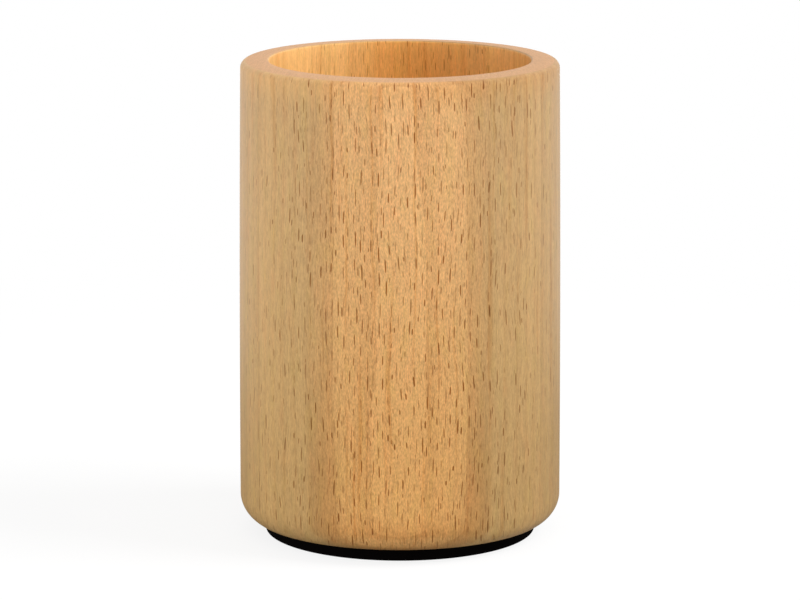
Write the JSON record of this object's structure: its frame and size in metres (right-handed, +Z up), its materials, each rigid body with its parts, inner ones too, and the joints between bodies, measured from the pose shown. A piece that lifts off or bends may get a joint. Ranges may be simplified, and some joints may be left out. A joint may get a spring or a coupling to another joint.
{
  "type": "pen cup",
  "caption": "Round turned-wood pen cup with an open well, an eased rim, a rounded base, a floor disc glued up from below and a smaller rubber foot that it stands on.",
  "frame": {"origin": "centre of the rubber foot's underside, on the surface that the cup stands on", "axes": "+Z up along the turning axis and out of the well; -Y faces the viewer of the picture, on the flat-sawn side of the wood, and +X is to that viewer's right"},
  "size_m": [0.07, 0.07, 0.1038],
  "materials": {
    "beech_wall": "satin clear lacquer over steamed beech, grain upright",
    "beech_floor": "satin clear lacquer over steamed beech, grain across the disc",
    "adhesive": "matt double-sided film",
    "black_rubber": "matt black sheet rubber, die cut"
  },
  "bodies": {
    "root": {"cup_sleeve": "beech_wall", "floor_disc": "beech_floor", "adhesive_film": "adhesive", "rubber_foot": "black_rubber"}
  },
  "joints": []
}
